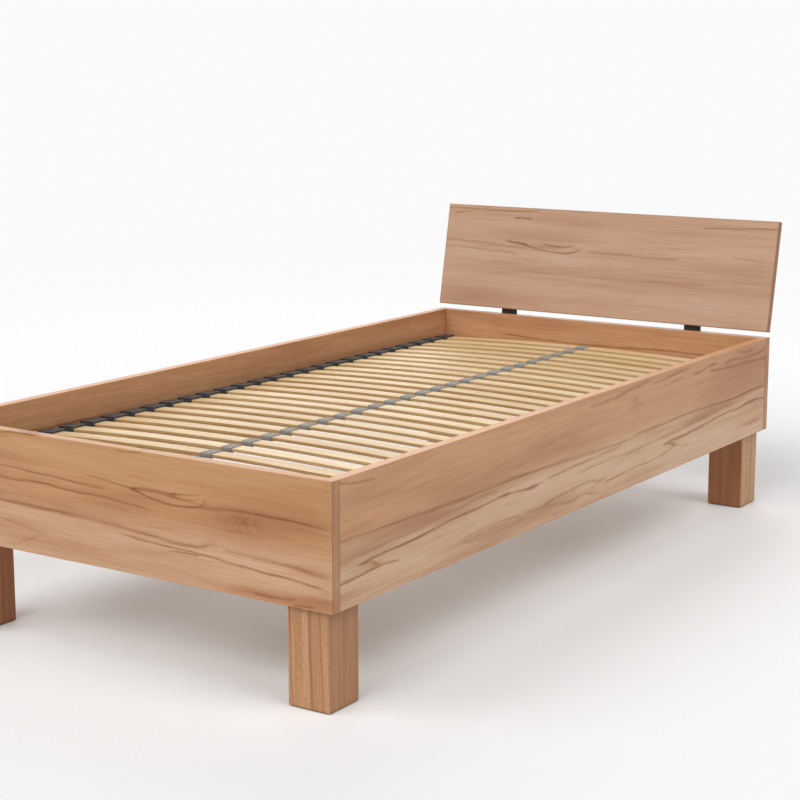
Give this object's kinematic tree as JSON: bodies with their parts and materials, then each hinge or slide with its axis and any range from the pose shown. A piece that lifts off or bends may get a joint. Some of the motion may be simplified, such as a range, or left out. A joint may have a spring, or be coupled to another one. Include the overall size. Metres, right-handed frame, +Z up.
{
  "type": "wooden bed frame",
  "caption": "Single bed frame in oiled heart beech with four panels, block legs, a tilted headboard on steel bars, and a lift-out base of sprung slats.",
  "frame": {"origin": "on the floor, under the middle of the whole bed's bounding box", "axes": "+X to the bed's right side as seen from the foot, +Y from the foot to the head, +Z up"},
  "size_m": [1.07, 2.128, 0.7811],
  "materials": {
    "oiled_heart_beech": "oiled, satin",
    "oiled_beech_leg": "oiled, satin",
    "ledge_beech": "planed",
    "dowel_beech": "raw",
    "base_pine": "planed, clear lacquer",
    "birch_slat": "laminated, satin lacquer",
    "moulded_elastomer": "matt moulded",
    "black_steel": "black powder coat",
    "zinc_steel": "zinc plated",
    "webbing": "woven polyester",
    "felt": "pressed wool felt"
  },
  "bodies": {
    "bed_frame": {"foot_panel": "oiled_heart_beech", "head_panel": "oiled_heart_beech", "side_rail_left": "oiled_heart_beech", "side_rail_right": "oiled_heart_beech", "leg_foot_left": "oiled_beech_leg", "leg_foot_right": "oiled_beech_leg", "leg_head_left": "oiled_beech_leg", "leg_head_right": "oiled_beech_leg", "felt_glides": "felt", "headboard": "oiled_heart_beech", "headboard_bracket_left": "black_steel", "headboard_bracket_right": "black_steel", "bracket_bolts": "zinc_steel", "headboard_screws": "zinc_steel", "ledge_left": "ledge_beech", "ledge_right": "ledge_beech", "ledge_screws": "zinc_steel", "leg_bolts": "zinc_steel", "leg_washers": "zinc_steel", "threaded_inserts": "zinc_steel", "corner_dowels": "dowel_beech"},
    "slatted_base": {"base_beam_left": "base_pine", "base_beam_right": "base_pine", "base_cross_foot": "base_pine", "base_cross_middle": "base_pine", "base_cross_head": "base_pine", "base_screws": "zinc_steel", "slat_holders_left": "moulded_elastomer", "slat_holders_right": "moulded_elastomer", "centre_strap": "webbing", "slat_01": "birch_slat", "slat_02": "birch_slat", "slat_03": "birch_slat", "slat_04": "birch_slat", "slat_05": "birch_slat", "slat_06": "birch_slat", "slat_07": "birch_slat", "slat_08": "birch_slat", "slat_09": "birch_slat", "slat_10": "birch_slat", "slat_11": "birch_slat", "slat_12": "birch_slat", "slat_13": "birch_slat", "slat_14": "birch_slat", "slat_15": "birch_slat", "slat_16": "birch_slat", "slat_17": "birch_slat", "slat_18": "birch_slat", "slat_19": "birch_slat", "slat_20": "birch_slat", "slat_21": "birch_slat", "slat_22": "birch_slat", "slat_23": "birch_slat", "slat_24": "birch_slat", "slat_25": "birch_slat", "slat_26": "birch_slat", "slat_27": "birch_slat", "slat_28": "birch_slat"}
  },
  "joints": [
    {"name": "base_lift", "type": "slide", "parent": "bed_frame", "child": "slatted_base", "axis": [0, 0, 1], "range_m": [0, 0.15]}
  ]
}
